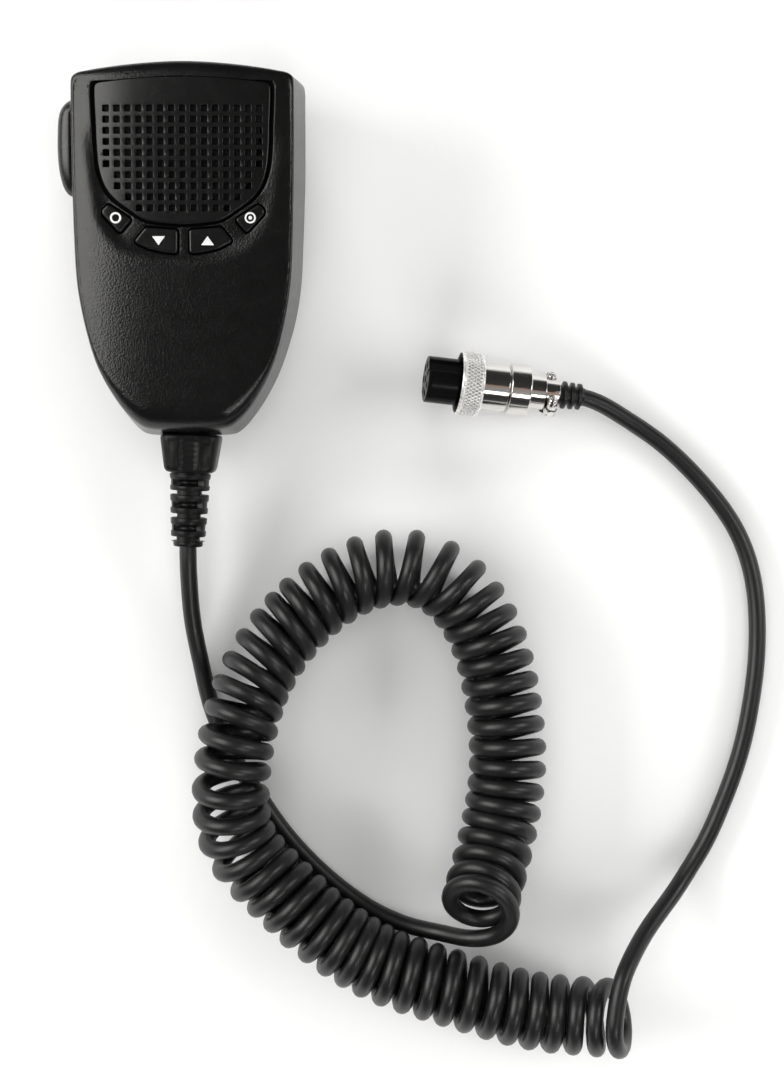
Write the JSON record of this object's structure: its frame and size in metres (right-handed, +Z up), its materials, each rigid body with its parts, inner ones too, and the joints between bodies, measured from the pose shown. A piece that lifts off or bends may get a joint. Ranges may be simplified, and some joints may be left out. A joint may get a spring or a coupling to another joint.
{
  "type": "hand microphone",
  "caption": "Hand microphone with a sound grille, press keys and a side talk bar, a curly cord and a round screw-ring plug; hanger stud on its back.",
  "frame": {"origin": "bottom centre of the microphone as it lies on its back, cord and plug left out", "axes": "+Z up from the table, +Y towards the top of the microphone, +X to the right of its face"},
  "size_m": [0.1989, 0.2751, 0.0383],
  "materials": {
    "case": "fine moulded grain",
    "grille": "satin",
    "screen": "fine mesh",
    "capsule_can": "satin",
    "soft_rubber": "matt",
    "board": "solder mask",
    "switch": "matt",
    "header": "matt",
    "wires": "insulation",
    "screw_steel": "zinc plated",
    "stud_metal": "nickel plated",
    "talk_bar": "semi-gloss",
    "plunger": "matt",
    "keys": "semi-gloss",
    "relief": "satin",
    "cable": "satin jacket",
    "plug_metal": "nickel plated",
    "plug_black": "gloss",
    "contacts": "silver plated"
  },
  "bodies": {
    "microphone": {"front_case": "case", "rear_case": "case", "grille_panel": "grille", "dust_screen": "screen", "mic_capsule": "capsule_can", "capsule_boot": "soft_rubber", "circuit_board": "board", "key_switches": "switch", "ptt_switch": "switch", "wire_header": "header", "lead_wires": "wires", "board_screws": "screw_steel", "case_screws": "screw_steel", "hanger_stud": "stud_metal", "hanger_screw": "screw_steel", "hanger_nut": "screw_steel", "ptt_pin": "screw_steel", "strain_relief": "relief", "cord_mic_tail": "cable", "cord_coil": "cable", "cord_plug_tail": "cable", "plug_boot": "soft_rubber", "plug_clamp": "plug_metal", "clamp_screws": "plug_metal", "plug_sleeve": "plug_metal", "plug_shell": "plug_metal", "plug_insulator": "plug_black", "plug_contacts": "contacts"},
    "talk_bar": {"ptt_bar": "talk_bar", "ptt_plunger": "plunger"},
    "left_key": {"key_left": "keys", "plunger_left": "plunger"},
    "down_key": {"key_down": "keys", "plunger_down": "plunger"},
    "up_key": {"key_up": "keys", "plunger_up": "plunger"},
    "right_key": {"key_right": "keys", "plunger_right": "plunger"},
    "screw_ring": {"coupling_ring": "plug_metal"}
  },
  "joints": [
    {"name": "talk_bar_press", "type": "hinge", "parent": "microphone", "child": "talk_bar", "pos_m": [-0.024, 0.03539, 0.02131], "axis": [0, -0.0775, 0.997], "range_deg": [0, 4], "stiffness_Nm_per_rad": 0.5},
    {"name": "left_key_press", "type": "slide", "parent": "microphone", "child": "left_key", "axis": [0, 0.0775, -0.997], "range_m": [0, 0.0006], "stiffness_N_per_m": 1500},
    {"name": "down_key_press", "type": "slide", "parent": "microphone", "child": "down_key", "axis": [0, 0.0775, -0.997], "range_m": [0, 0.0006], "stiffness_N_per_m": 1500},
    {"name": "up_key_press", "type": "slide", "parent": "microphone", "child": "up_key", "axis": [0, 0.0775, -0.997], "range_m": [0, 0.0006], "stiffness_N_per_m": 1500},
    {"name": "right_key_press", "type": "slide", "parent": "microphone", "child": "right_key", "axis": [0, 0.0775, -0.997], "range_m": [0, 0.0006], "stiffness_N_per_m": 1500},
    {"name": "screw_ring_turn", "type": "hinge", "parent": "microphone", "child": "screw_ring", "pos_m": [0.08001, -0.03564, 0.00936], "axis": [-0.9862, 0.1037, 0.1288], "continuous": true}
  ]
}
